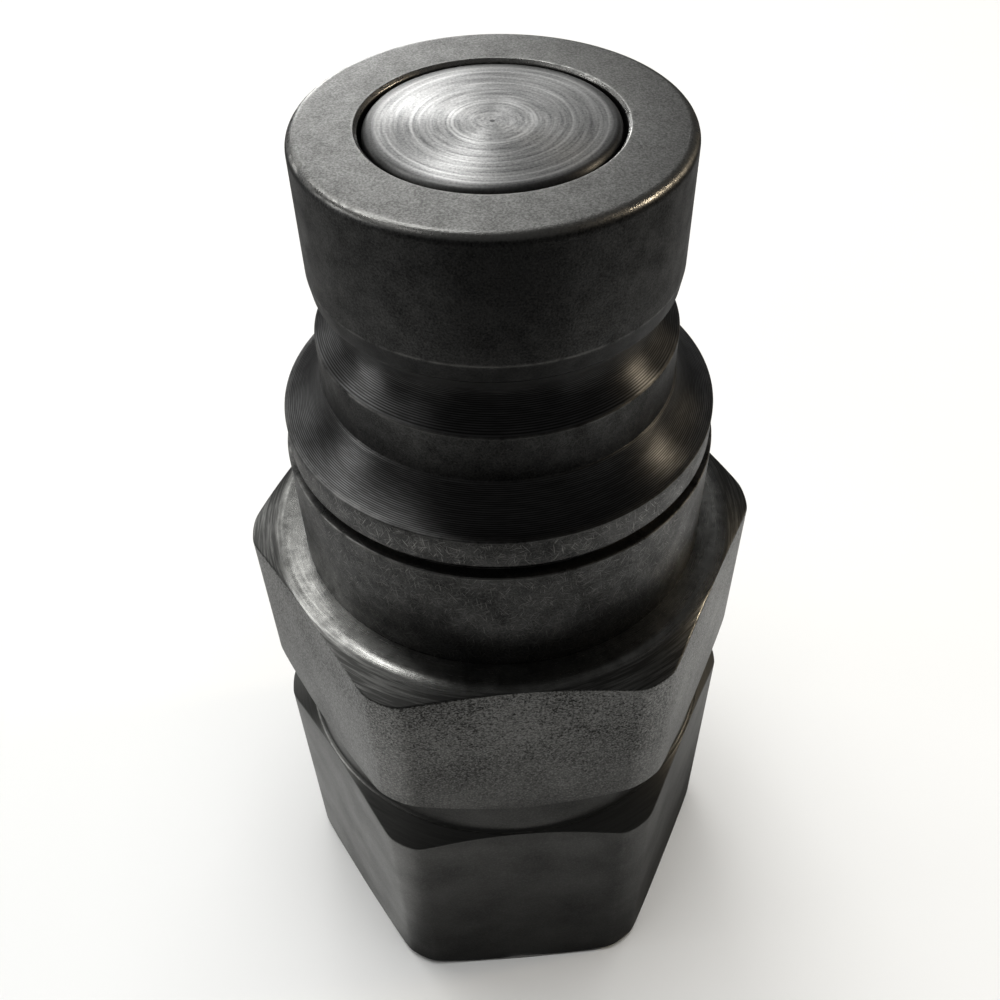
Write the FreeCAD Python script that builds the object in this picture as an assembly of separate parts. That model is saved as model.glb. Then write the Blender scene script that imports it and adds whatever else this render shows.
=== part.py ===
import FreeCAD
import Part
import math
import os
from collections import namedtuple

# Plug half of a flat-face hydraulic quick coupling with its spring-loaded poppet valve.
# The axis is Z. The plug stands on the rear end of its hexagon at z = 0, flat face up.
# All sizes are in millimetres and all angles in degrees.

# Cone left by a drill, measured from its axis
drill_point_angle = 59.0

# Points closer than this are one point of an outline
same_point = 1e-6

# Nipple body, outside, from the flat face down
nose_diameter = 24.5
nose_edge_radius = 0.7
nose_length = 8.65
nose_back_step = 0.19
nose_back_length = 1.25
ball_groove_depth = 1.5
ball_groove_radius = 1.6
ball_groove_front_angle = 40.0
ball_groove_rear_angle = 52.0
rim_step = 0.13
rim_length = 2.75
flare_length = 3.4
collar_inset = 0.27
collar_length = 2.1
collar_edge_radius = 0.4
relief_depth = 0.63
relief_length = 0.75
base_length = 9.75

# Nipple body, inside, with the walls and steps between one diameter and the next
groove_wall = 1.45
bore_mouth_chamfer = 0.2
bore_length = 6.5
stop_step = 1.3
front_chamber_length = 5.2
rear_chamber_step = 1.7
chamber_cone_angle = 30.0

# Threaded joint between the nipple body and the adapter
joint_length = 12.5
joint_clearance = 0.05
joint_lead = 0.6
gland_wall = 1.4
gland_depth = 1.6
gland_land = 0.9
gland_width = 3.0
backup_ring_width = 1.2
ring_clearance = 0.02
base_shoulder = 1.6

# Hexagon adapter, one piece of hexagon bar
hex_shoulder = 2.4
corner_rise = 2.05
hex_chamfer_angle = 25.0
waist_chamfer_angle = 38.0
hex_chamfer_inset = 0.05
rear_hex_length = 26.3
waist_length = 4.45
waist_depth = 0.4
waist_fillet = 0.3
front_hex_length = 16.45

# Rear port in the adapter, for an inch straight thread with an O-ring seat
passage_step = 0.2
port_thread_step = 2.7
port_depth = 19.5
port_seat_step = 1.1
port_seat_depth = 3.3
port_seat_angle = 12.0
port_lead_angle = 45.0

# Poppet
poppet_recess = 0.05
poppet_gap = 0.25
poppet_edge_chamfer = 0.4
head_thickness = 1.8
head_thread_diameter = 5.0
head_thread_length = 9.0
head_hole_extra = 1.0
seal_groove_depth = 2.4
seal_width = 2.0
seal_corner_radius = 0.3
poppet_backup_width = 1.2
sliding_clearance = 0.03
stop_gap = 0.1
flange_clearance = 0.4
stop_flange_length = 1.2
flange_slot_count = 3
flange_slot_angle = 70.0
flange_slot_margin = 0.45
pilot_clearance = 0.35
pilot_shoulder = 1.25
spring_pilot_length = 2.0
tail_diameter = 6.0
tail_end_chamfer = 0.6
tail_overhang = 1.5
running_clearance = 0.05
stroke = 9.5
stroke_end_gap = 0.1

# Valve guide
guide_thickness = 3.0
guide_edge_clearance = 0.2
guide_boss_length = 7.0
window_count = 3
window_margin = 0.4
window_spoke_width = 3.2
guide_bore_chamfer = 0.4

# Poppet spring
wire_diameter = 1.6
spring_clearance = 1.1
active_turns = 7.0
closed_turns = 1.0
closed_pitch_gap = 0.02

# Diameters of the nipple body, each from its neighbour and the wall or step between them
nose_back_diameter = nose_diameter - 2 * nose_back_step
rim_diameter = nose_diameter + 2 * rim_step
ball_groove_floor_diameter = nose_diameter - 2 * ball_groove_depth
front_chamber_diameter = ball_groove_floor_diameter - 2 * groove_wall
bore_diameter = front_chamber_diameter - 2 * stop_step
rear_chamber_diameter = front_chamber_diameter + 2 * rear_chamber_step
gland_floor_diameter = rear_chamber_diameter + 2 * gland_wall
joint_thread_diameter = gland_floor_diameter + 2 * gland_depth
base_diameter = joint_thread_diameter + 2 * base_shoulder
collar_diameter = base_diameter - 2 * collar_inset
relief_diameter = collar_diameter - 2 * relief_depth

# Diameters of the adapter
across_flats = base_diameter + 2 * hex_shoulder
corner_diameter = across_flats + 2 * corner_rise
waist_diameter = across_flats - 2 * waist_depth
passage_diameter = rear_chamber_diameter - 2 * passage_step
port_thread_diameter = passage_diameter + 2 * port_thread_step
port_seat_diameter = port_thread_diameter + 2 * port_seat_step

# Diameters and radii of the valve
seal_floor_diameter = bore_diameter - 2 * seal_groove_depth
poppet_radius = bore_diameter / 2 - poppet_gap
flange_radius = front_chamber_diameter / 2 - flange_clearance
spring_outer_radius = front_chamber_diameter / 2 - spring_clearance
coil_radius = spring_outer_radius - wire_diameter / 2
pilot_radius = spring_outer_radius - wire_diameter - pilot_clearance
stem_radius = pilot_radius - pilot_shoulder

# Heights of the outside, from the standing face up
waist_bottom = rear_hex_length
waist_top = waist_bottom + waist_length
hex_top = waist_top + front_hex_length
relief_bottom = hex_top + base_length
collar_bottom = relief_bottom + relief_length
flare_bottom = collar_bottom + collar_length
rim_bottom = flare_bottom + flare_length
rim_top = rim_bottom + rim_length

Arc = namedtuple("Arc", "through end")


def sine(degrees):
    return math.sin(math.radians(degrees))


def cosine(degrees):
    return math.cos(math.radians(degrees))


def tangent(degrees):
    return math.tan(math.radians(degrees))


# The ball groove is a round floor between two cones that run out to the nose and the rim
groove_centre_radius = ball_groove_floor_diameter / 2 + ball_groove_radius


def flank_height(outer_radius, flank_angle):
    """Height from the middle of the groove to the outer edge of one of its cones."""
    tangent_radius = groove_centre_radius - ball_groove_radius * cosine(flank_angle)
    cone_height = (outer_radius - tangent_radius) / tangent(flank_angle)
    return cone_height + ball_groove_radius * sine(flank_angle)


groove_middle = rim_top + flank_height(rim_diameter / 2, ball_groove_rear_angle)
groove_top = groove_middle + flank_height(nose_back_diameter / 2, ball_groove_front_angle)
nose_bottom = groove_top + nose_back_length
face_height = nose_bottom + nose_length

# Inside of the body and the clamped guide
bore_bottom = face_height - bore_length
stop_cone_bottom = bore_bottom - (front_chamber_diameter - bore_diameter) / 2
front_chamber_bottom = stop_cone_bottom - front_chamber_length
cone_drop = (rear_chamber_diameter - front_chamber_diameter) / 2 / tangent(chamber_cone_angle)
rear_chamber_top = front_chamber_bottom - cone_drop
joint_bottom = hex_top - joint_length
guide_seat = joint_bottom - guide_thickness
joint_bore_radius = joint_thread_diameter / 2 + joint_clearance
gland_top = hex_top - gland_land
gland_bottom = gland_top - gland_width

# Poppet, at rest against its stop
head_top = face_height - poppet_recess
head_bottom = head_top - head_thickness
seal_bottom = head_bottom - seal_width
backup_bottom = seal_bottom - poppet_backup_width
flange_top = bore_bottom - stop_gap - (flange_radius - bore_diameter / 2)
land_bottom = flange_top + flange_radius - poppet_radius
spring_top = flange_top - stop_flange_length
boss_top = joint_bottom + guide_boss_length
stem_step = boss_top + stroke + stroke_end_gap
tail_bottom = guide_seat - tail_overhang


def point(radius, height):
    return FreeCAD.Vector(radius, 0, height)


def arc_steps(centre, radius, start, end):
    """Start point and arc of a round stretch, with its angles measured from the outward radius."""
    middle = (start + end) / 2
    places = [
        (centre[0] + radius * cosine(angle), centre[1] + radius * sine(angle))
        for angle in (start, middle, end)
    ]
    return [places[0], Arc(places[1], places[2])]


def turned(outline):
    """Solid turned about Z from a closed outline of (radius, height) points and arcs."""
    edges = []
    here = outline[0]
    for step in outline[1:] + [outline[0]]:
        if isinstance(step, Arc):
            arc = Part.Arc(point(*here), point(*step.through), point(*step.end))
            edges.append(arc.toShape())
            here = step.end
        elif math.dist(here, step) > same_point:
            edges.append(Part.makeLine(point(*here), point(*step)))
            here = step
    face = Part.Face(Part.Wire(edges))
    return face.revolve(FreeCAD.Vector(0, 0, 0), FreeCAD.Vector(0, 0, 1), 360)


def ring(inner_radius, outer_radius, bottom, top):
    """Plain ring of rectangular section."""
    return turned([(inner_radius, bottom), (outer_radius, bottom), (outer_radius, top), (inner_radius, top)])


def ring_sector(inner_radius, outer_radius, bottom, top, middle_angle, spread):
    """Part of a plain ring that spans a given angle about its middle."""
    section = Part.makePolygon([
        point(inner_radius, bottom),
        point(outer_radius, bottom),
        point(outer_radius, top),
        point(inner_radius, top),
        point(inner_radius, bottom),
    ])
    sector = Part.Face(section).revolve(FreeCAD.Vector(0, 0, 0), FreeCAD.Vector(0, 0, 1), spread)
    sector.rotate(FreeCAD.Vector(0, 0, 0), FreeCAD.Vector(0, 0, 1), middle_angle - spread / 2)
    return sector


def hexagon_bar(height):
    """Hexagon bar with corners on the X axis."""
    circumradius = across_flats / 2 / cosine(30)
    corners = [
        FreeCAD.Vector(circumradius * cosine(60 * side), circumradius * sine(60 * side), 0)
        for side in range(7)
    ]
    return Part.Face(Part.makePolygon(corners)).extrude(FreeCAD.Vector(0, 0, height))


def adapter_envelope():
    """Turned outside of the adapter: chamfered ends, rounded-off corners and the waist."""
    corner = corner_diameter / 2
    ridge = across_flats / 2 - hex_chamfer_inset
    waist = waist_diameter / 2
    drop = (corner - ridge) * tangent(hex_chamfer_angle)
    waist_drop = (corner - ridge) * tangent(waist_chamfer_angle)
    fillet = min(waist_fillet, ridge - waist)
    outline = [
        (0, 0),
        (ridge, 0),
        (corner, drop),
        (corner, waist_bottom - waist_drop),
        (ridge, waist_bottom),
    ]
    outline += arc_steps((waist + fillet, waist_bottom + fillet), fillet, 270, 180)
    outline += arc_steps((waist + fillet, waist_top - fillet), fillet, 180, 90)
    outline += [
        (ridge, waist_top),
        (corner, waist_top + waist_drop),
        (corner, hex_top - drop),
        (ridge, hex_top),
        (0, hex_top),
    ]
    return turned(outline)


def adapter_bore():
    """Everything bored out of the adapter, from the port up to the threaded joint."""
    thread = port_thread_diameter / 2
    seat = port_seat_diameter / 2
    seat_inner = seat - port_seat_depth * tangent(port_seat_angle)
    lead_end = port_seat_depth + (seat_inner - thread) / tangent(port_lead_angle)
    passage = passage_diameter / 2
    drill_end = port_depth + (thread - passage) / tangent(drill_point_angle)
    return turned([
        (0, 0),
        (seat, 0),
        (seat_inner, port_seat_depth),
        (thread, lead_end),
        (thread, port_depth),
        (passage, drill_end),
        (passage, guide_seat),
        (joint_bore_radius, guide_seat),
        (joint_bore_radius, hex_top),
        (0, hex_top),
    ])


def hex_adapter():
    """One hexagon piece that takes the hose fitting below and the nipple body above."""
    return hexagon_bar(hex_top).common(adapter_envelope()).cut(adapter_bore())


def body_outside():
    """Outline of the nipple body from its flat face down to the end of its thread."""
    nose = nose_diameter / 2
    rim = rim_diameter / 2
    collar = collar_diameter / 2
    relief = relief_diameter / 2
    thread = joint_thread_diameter / 2
    floor = gland_floor_diameter / 2
    spread = collar - rim
    flare_radius = (spread ** 2 + flare_length ** 2) / (2 * spread)
    flare_end = 180 + math.degrees(math.acos((flare_radius - spread) / flare_radius))
    groove_start = 180 - ball_groove_front_angle
    groove_end = 180 + ball_groove_rear_angle
    outline = arc_steps((nose - nose_edge_radius, face_height - nose_edge_radius), nose_edge_radius, 90, 0)
    outline += [(nose, nose_bottom), (nose_back_diameter / 2, groove_top)]
    outline += arc_steps((groove_centre_radius, groove_middle), ball_groove_radius, groove_start, groove_end)
    outline += [(rim, rim_top)]
    outline += arc_steps((rim + flare_radius, rim_bottom), flare_radius, 180, flare_end)
    outline += arc_steps(
        (collar - collar_edge_radius, collar_bottom + collar_edge_radius), collar_edge_radius, 0, -90)
    outline += [
        (relief, collar_bottom),
        (relief, relief_bottom),
        (base_diameter / 2, relief_bottom),
        (base_diameter / 2, hex_top),
        (thread, hex_top),
        (thread, gland_top),
        (floor, gland_top),
        (floor, gland_bottom),
        (thread, gland_bottom),
        (thread, joint_bottom + joint_lead),
        (thread - joint_lead, joint_bottom),
    ]
    return outline


def body_inside():
    """Outline of the bore from the end of the thread up to the mouth in the flat face."""
    bore = bore_diameter / 2
    return [
        (rear_chamber_diameter / 2, joint_bottom),
        (rear_chamber_diameter / 2, rear_chamber_top),
        (front_chamber_diameter / 2, front_chamber_bottom),
        (front_chamber_diameter / 2, stop_cone_bottom),
        (bore, bore_bottom),
        (bore, face_height - bore_mouth_chamfer),
        (bore + bore_mouth_chamfer, face_height),
    ]


def nipple_body():
    """Round body with the nose, ball groove, flared collar and threaded tail."""
    return turned(body_outside() + body_inside())


def joint_backup_ring():
    """Stiff ring above the O-ring in the gland of the threaded joint."""
    inner = gland_floor_diameter / 2 + ring_clearance
    outer = joint_bore_radius - ring_clearance
    top = gland_top - ring_clearance
    return ring(inner, outer, top - backup_ring_width, top)


def joint_o_ring():
    """O-ring squeezed between the gland floor and the adapter bore."""
    floor = gland_floor_diameter / 2
    cord = (joint_bore_radius - floor) / 2 - ring_clearance
    middle = (joint_bore_radius + floor) / 2
    height = gland_top - backup_ring_width - 2 * ring_clearance - cord
    return Part.makeTorus(middle, cord, FreeCAD.Vector(0, 0, height))


def poppet_head():
    """Flat disc of the poppet with the threaded shank that clamps the seal."""
    shank = head_thread_diameter / 2
    return turned([
        (0, head_bottom - head_thread_length),
        (shank, head_bottom - head_thread_length),
        (shank, head_bottom),
        (poppet_radius, head_bottom),
        (poppet_radius, head_top - poppet_edge_chamfer),
        (poppet_radius - poppet_edge_chamfer, head_top),
        (0, head_top),
    ])


def poppet_seal():
    """Moulded ring that wipes the bore, with rounded corners."""
    inner = seal_floor_diameter / 2 + ring_clearance
    outer = bore_diameter / 2 - sliding_clearance
    corner = seal_corner_radius
    outline = [(inner, seal_bottom)]
    outline += arc_steps((outer - corner, seal_bottom + corner), corner, -90, 0)
    outline += arc_steps((outer - corner, head_bottom - corner), corner, 0, 90)
    outline += [(inner, head_bottom)]
    return turned(outline)


def poppet_backup_ring():
    """Stiff ring behind the poppet seal."""
    inner = seal_floor_diameter / 2 + ring_clearance
    outer = bore_diameter / 2 - sliding_clearance
    return ring(inner, outer, backup_bottom, seal_bottom)


def flow_slots():
    """Cuts that let oil pass the stop flange of the stem."""
    slots = [
        ring_sector(
            pilot_radius + flange_slot_margin, front_chamber_diameter / 2, spring_top, land_bottom,
            360 / flange_slot_count * index, flange_slot_angle)
        for index in range(flange_slot_count)
    ]
    return Part.makeCompound(slots)


def poppet_stem():
    """Stem with the seal spigot, the slotted stop flange, the spring pilot and the guided tail."""
    hole = head_thread_diameter / 2 + joint_clearance
    spigot = seal_floor_diameter / 2
    tail = tail_diameter / 2
    pilot_bottom = spring_top - spring_pilot_length
    hole_bottom = head_bottom - head_thread_length - head_hole_extra
    solid = turned([
        (0, tail_bottom),
        (tail - tail_end_chamfer, tail_bottom),
        (tail, tail_bottom + tail_end_chamfer),
        (tail, stem_step),
        (stem_radius, stem_step),
        (stem_radius, pilot_bottom - pilot_shoulder),
        (pilot_radius, pilot_bottom),
        (pilot_radius, spring_top),
        (flange_radius, spring_top),
        (flange_radius, flange_top),
        (poppet_radius, land_bottom),
        (poppet_radius, backup_bottom),
        (spigot, backup_bottom),
        (spigot, head_bottom),
        (hole, head_bottom),
        (hole, hole_bottom),
        (0, hole_bottom - hole / tangent(drill_point_angle)),
    ])
    return solid.cut(flow_slots())


def valve_guide():
    """Disc clamped under the nipple body, with flow windows and the boss that guides the stem."""
    outer = joint_bore_radius - guide_edge_clearance
    bore = tail_diameter / 2 + running_clearance
    disc = turned([
        (bore + guide_bore_chamfer, guide_seat),
        (outer, guide_seat),
        (outer, joint_bottom),
        (pilot_radius, joint_bottom),
        (pilot_radius, boss_top),
        (bore + guide_bore_chamfer, boss_top),
        (bore, boss_top - guide_bore_chamfer),
        (bore, guide_seat + guide_bore_chamfer),
    ])
    window_floor = spring_outer_radius + window_margin
    window_outer = passage_diameter / 2
    spoke_angle = math.degrees(window_spoke_width / window_outer)
    for index in range(window_count):
        window = ring_sector(
            window_floor, window_outer, guide_seat, joint_bottom,
            360 / window_count * (index + 0.5), 360 / window_count - spoke_angle)
        disc = disc.cut(window)
    return disc


def poppet_spring():
    """Helical spring with one closed turn at each end, both ends ground flat."""
    closed_pitch = wire_diameter + closed_pitch_gap
    bottom = joint_bottom
    length = spring_top - bottom
    closed_height = closed_pitch * closed_turns
    active_height = length - 2 * closed_height
    stretches = [
        (closed_pitch, closed_height),
        (active_height / active_turns, active_height),
        (closed_pitch, closed_height),
    ]
    edges = []
    height = 0.0
    turns = 0.0
    for pitch, rise in stretches:
        helix = Part.makeHelix(pitch, rise, coil_radius)
        helix.rotate(FreeCAD.Vector(0, 0, 0), FreeCAD.Vector(0, 0, 1), 360 * turns)
        helix.translate(FreeCAD.Vector(0, 0, height))
        edges += helix.Edges
        height += rise
        turns += rise / pitch
    path = Part.Wire(Part.__sortEdges__(edges))
    start = path.OrderedVertexes[0].Point
    section = Part.Wire(Part.makeCircle(wire_diameter / 2, start, FreeCAD.Vector(0, 1, 0)))
    coil = path.makePipeShell([section], True, True)
    coil.translate(FreeCAD.Vector(0, 0, bottom))
    reach = 2 * spring_outer_radius
    between = Part.makeBox(reach, reach, length, FreeCAD.Vector(-reach / 2, -reach / 2, bottom))
    return coil.common(between)


def main():
    os.makedirs("parts", exist_ok=True)
    pieces = {
        "hex_adapter": hex_adapter,
        "nipple_body": nipple_body,
        "joint_o_ring": joint_o_ring,
        "joint_backup_ring": joint_backup_ring,
        "poppet_head": poppet_head,
        "poppet_seal_ring": poppet_seal,
        "poppet_backup_ring": poppet_backup_ring,
        "poppet_stem": poppet_stem,
        "poppet_spring": poppet_spring,
        "valve_guide": valve_guide,
    }
    for node, make in pieces.items():
        solid = make()
        solid.exportStep(f"parts/{node}.step")
        box = solid.BoundBox
        print(node, solid.isValid(), len(solid.Solids), round(box.ZMin, 3), round(box.ZMax, 3))


main()
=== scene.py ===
import math

import bpy
import numpy as np
from mathutils import Matrix, Vector


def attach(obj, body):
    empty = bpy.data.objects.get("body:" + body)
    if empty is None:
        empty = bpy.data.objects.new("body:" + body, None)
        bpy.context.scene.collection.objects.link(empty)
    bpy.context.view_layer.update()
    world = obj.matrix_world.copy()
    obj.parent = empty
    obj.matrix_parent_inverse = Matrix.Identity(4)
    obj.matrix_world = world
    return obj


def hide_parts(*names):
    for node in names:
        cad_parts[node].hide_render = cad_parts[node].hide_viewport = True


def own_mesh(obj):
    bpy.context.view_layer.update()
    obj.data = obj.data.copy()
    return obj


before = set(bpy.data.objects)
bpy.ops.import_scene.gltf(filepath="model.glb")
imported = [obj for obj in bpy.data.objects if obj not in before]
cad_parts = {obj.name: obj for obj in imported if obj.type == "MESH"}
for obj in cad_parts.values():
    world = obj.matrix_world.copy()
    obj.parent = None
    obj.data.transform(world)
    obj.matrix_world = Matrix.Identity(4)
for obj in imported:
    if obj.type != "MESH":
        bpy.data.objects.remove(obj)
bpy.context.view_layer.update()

# Hexagon adapter
# One piece of hexagon bar in zinc-nickel plated steel. It is turned on a lathe at both ends and at
# the waist, bored through and threaded, then tumbled so that its flats come out satin. All in mm.
across_flats = 36.0
corner_radius = 20.05
corner_blend = 0.14
ridge_radius = 17.95
end_chamfer = math.tan(math.radians(25))
waist_chamfer = math.tan(math.radians(38))
waist_radius, waist_fillet = 17.6, 0.3
waist_bottom, waist_top, hex_top = 26.3, 30.75, 47.2
joint_bore_radius = 14.05
guide_seat = 31.7
passage_radius = 10.8
port_radius, port_depth = 13.5, 19.5
port_drill_rise = (port_radius - passage_radius) / math.tan(math.radians(59))
port_seat_radius, port_seat_depth = 14.6, 3.3
port_seat_inner = port_seat_radius - port_seat_depth * math.tan(math.radians(12))
edge_break, bore_break = 0.12, 0.1
ridge_fall, ridge_width = 0.14, 0.6


def arc(centre, radius, start, end, steps):
    """Points of a round stretch of an outline, with its angles measured from the outward radius."""
    turn = np.radians(np.linspace(start, end, steps + 1))
    return [(centre[0] + radius * math.cos(a), centre[1] + radius * math.sin(a), 0) for a in turn]


def eased(outline, columns):
    """Outline of (radius, height, edge break) points, one row per column, with its edges broken.

    A broken edge is a short curve between two guard rows, which keep the shading beside it flat.
    """
    longest_cut, guard, curve_shares = 0.4, 1.2, np.linspace(0, 1, 4)
    spots = [np.stack([np.broadcast_to(r, columns), np.broadcast_to(z, columns)], -1)
             for r, z, _ in outline]
    rows = []
    for index, (_, _, width) in enumerate(outline):
        here = spots[index]
        if not width:
            rows.append(here)
            continue
        back = spots[index - 1] - here
        ahead = spots[(index + 1) % len(spots)] - here
        back_length = np.linalg.norm(back, axis=1, keepdims=True)
        ahead_length = np.linalg.norm(ahead, axis=1, keepdims=True)
        cut = np.minimum(width, longest_cut * np.minimum(back_length, ahead_length))
        back, ahead = back / back_length * cut, ahead / ahead_length * cut
        rows.append(here + back * guard)
        rows += [here + (1 - share) ** 2 * back + share ** 2 * ahead for share in curve_shares]
        rows.append(here + ahead * guard)
    return np.stack(rows, 1)


def net(rows, across, rows_close=True, across_close=True):
    """Faces of a net of corners, row after row, that may close on itself in each direction."""
    near = np.arange(rows if rows_close else rows - 1)[:, None]
    low = np.arange(across if across_close else across - 1)[None]
    far, high = (near + 1) % rows, (low + 1) % across
    sides = [near * across + low, far * across + low, far * across + high, near * across + high]
    return np.stack(sides, -1).reshape(-1, 4).tolist()


def rod(rows, across):
    """Faces of a rod of closed sections, with a face at each end."""
    last = (rows - 1) * across
    return net(rows, across, rows_close=False) + [
        list(range(across)), [last + corner for corner in reversed(range(across))]]


def solid(name, corners, faces, smooth=True):
    """Object in the scene with a mesh of these corners, given in mm."""
    mesh = bpy.data.meshes.new(name)
    mesh.from_pydata((np.reshape(corners, (-1, 3)) / 1000).tolist(), [], faces)
    if smooth:
        mesh.shade_smooth()
    made = bpy.data.objects.new(name, mesh)
    bpy.context.scene.collection.objects.link(made)
    return made


def skin(name, angles, sections, closed=True):
    """Object through one section of (radius, height) points at each angle round Z."""
    turn = angles[:, None]
    corners = np.stack([
        sections[..., 0] * np.cos(turn), sections[..., 0] * np.sin(turn), sections[..., 1]], -1)
    return solid(name, corners, net(*sections.shape[:2], across_close=closed))


# The plan is a hexagon whose corners were turned off to one radius, with finer steps at those edges
side_stretches = [
    (-30, -28.4, 3), (-28.4, -23.6, 18), (-23.6, 23.6, 56), (23.6, 28.4, 18), (28.4, 30, 3)]
side_angles = np.concatenate([
    np.linspace(start, end, steps, endpoint=False) for start, end, steps in side_stretches])
hex_angles = np.radians(np.concatenate([30 + 60 * side + side_angles for side in range(6)]))
flat = across_flats / 2 / np.cos(np.radians(np.tile(side_angles, 6)))
hex_radius = (flat + corner_radius) / 2 - np.sqrt(
    ((flat - corner_radius) / 2) ** 2 + corner_blend ** 2)
end_drop = (hex_radius - ridge_radius) * end_chamfer
waist_drop = (hex_radius - ridge_radius) * waist_chamfer
adapter_outline = [
    (port_seat_radius, 0, bore_break),
    (ridge_radius, 0, edge_break),
    (hex_radius, end_drop, edge_break),
    (hex_radius, waist_bottom - waist_drop, edge_break),
    (ridge_radius, waist_bottom, edge_break),
    *arc((waist_radius + waist_fillet, waist_bottom + waist_fillet), waist_fillet, 270, 180, 4),
    *arc((waist_radius + waist_fillet, waist_top - waist_fillet), waist_fillet, 180, 90, 4),
    (ridge_radius, waist_top, edge_break),
    (hex_radius, waist_top + waist_drop, edge_break),
    (hex_radius, hex_top - ridge_fall - end_drop, edge_break),
    (ridge_radius, hex_top - ridge_fall, 0.3),
    (ridge_radius - ridge_width, hex_top, 0.4),
    (joint_bore_radius, hex_top, 0.15),
    (joint_bore_radius, guide_seat, 0.05),
    (passage_radius, guide_seat, bore_break),
    (passage_radius, port_depth + port_drill_rise, bore_break),
    (port_radius, port_depth, bore_break),
    (port_radius, port_seat_depth + port_seat_inner - port_radius, bore_break),
    (port_seat_inner, port_seat_depth, bore_break),
]
adapter = skin("plated_adapter", hex_angles, eased(adapter_outline, len(hex_angles)))

# The port's thread, 12 turns to the inch, winds as one ridge from the seat to the bottom. Its foot
# is sunk in the wall, and it thins out over half a turn at both ends
thread_pitch, thread_depth, thread_sink = 25.4 / 12, 1.15, 0.06
thread_start, thread_end = 4.6, 18.6
crest_half, foot_half = 0.07 * thread_pitch, 0.42 * thread_pitch
thread_turns = (thread_end - thread_start) / thread_pitch
thread_turn = np.linspace(0, 2 * math.pi * thread_turns, int(96 * thread_turns))
thread_height = thread_start + thread_turn / (2 * math.pi) * thread_pitch
swell = np.clip(np.minimum(thread_turn, thread_turn[-1] - thread_turn) / math.pi, 0.02, 1)
crest_radius = port_radius - thread_depth * swell
foot_radius = np.full_like(swell, port_radius + thread_sink)
thread_section = [
    (crest_radius, thread_height - crest_half), (crest_radius, thread_height + crest_half),
    (foot_radius, thread_height + foot_half * swell),
    (foot_radius, thread_height - foot_half * swell)]
port_thread = solid("port_thread", np.stack([
    np.stack([reach * np.cos(thread_turn), reach * np.sin(thread_turn), level], -1)
    for reach, level in thread_section], 1), rod(len(thread_turn), 4), smooth=False)
with bpy.context.temp_override(
        active_object=adapter, selected_editable_objects=[adapter, port_thread]):
    bpy.ops.object.join()


def linear(colour):
    """Linear colour with full alpha from an sRGB hex value."""
    parts = [int(colour[i:i + 2], 16) / 255 for i in (1, 3, 5)]
    return [c / 12.92 if c <= 0.04045 else ((c + 0.055) / 1.055) ** 2.4 for c in parts] + [1]


def add(tree, kind, settings={}, links={}):
    """One node with its properties and socket values, and the outputs that feed its sockets.

    It returns the node's outputs. A Mix node takes its factor in socket 0, two numbers in 2 and 3
    or two colours in 6 and 7, and gives the number as output 0 or the colour as output 2.
    """
    made = tree.nodes.new("ShaderNode" + kind)
    for name, value in settings.items():
        if isinstance(name, str) and hasattr(made, name):
            setattr(made, name, value)
        else:
            made.inputs[name].default_value = value
    for name, source in links.items():
        tree.links.new(source, made.inputs[name])
    return made.outputs


def wire(tree, shader, sources):
    """Outputs feed these sockets of the shader."""
    for socket, source in sources.items():
        tree.links.new(source, shader.inputs[socket])


def new_finish(name, settings):
    """Material with its tree, its one shader, and an output with the place on the piece in mm."""
    made = bpy.data.materials.new(name)
    made.use_nodes = True
    tree = made.node_tree
    tree.nodes.clear()
    surface = add(tree, "BsdfPrincipled", settings)["BSDF"]
    add(tree, "OutputMaterial", {}, {"Surface": surface})
    metres = add(tree, "TexCoord")["Object"]
    place = add(tree, "VectorMath", {"operation": "SCALE", "Scale": 1000}, {0: metres})[0]
    return made, tree, surface.node, place


def round_axis(tree, place):
    """Outputs with the outward direction, the distance from the axis and the height of a place."""
    beside = add(tree, "VectorMath", {"operation": "MULTIPLY", 1: (1, 1, 0)}, {0: place})[0]
    outward = add(tree, "VectorMath", {"operation": "NORMALIZE"}, {0: beside})[0]
    radius = add(tree, "VectorMath", {"operation": "LENGTH"}, {0: beside})["Value"]
    return outward, radius, add(tree, "SeparateXYZ", {}, {0: place})["Z"]


def by_stops(tree, measure, stops):
    """A value that runs straight between (measure, value) stops."""
    low, high = stops[0][0], stops[-1][0]
    share = add(tree, "MapRange", {"From Min": low, "From Max": high}, {"Value": measure})[0]
    value_out = add(tree, "ValToRGB", {}, {0: share})["Color"]
    elements = value_out.node.color_ramp.elements
    while len(elements) < len(stops):
        elements.new(0.5)
    for element, (level, value) in zip(elements, stops):
        element.position = (level - low) / (high - low)
        element.color = (value, value, value, 1)
    return value_out


def wound(tree, across, stretch, number):
    """Place in a noise that changes from ring to ring, and with the stretch on the way round."""
    return add(tree, "VectorMath", {"operation": "MULTIPLY_ADD", 1: (stretch, stretch, 0)}, {
        0: across, 2: add(tree, "CombineXYZ", {}, {"Z": number})[0]})[0]


def give(piece, made):
    """The piece wears this one material on all its faces."""
    if not piece.material_slots:
        piece.data.materials.append(made)
    for worn_slot in piece.material_slots:
        worn_slot.material = made


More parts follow.
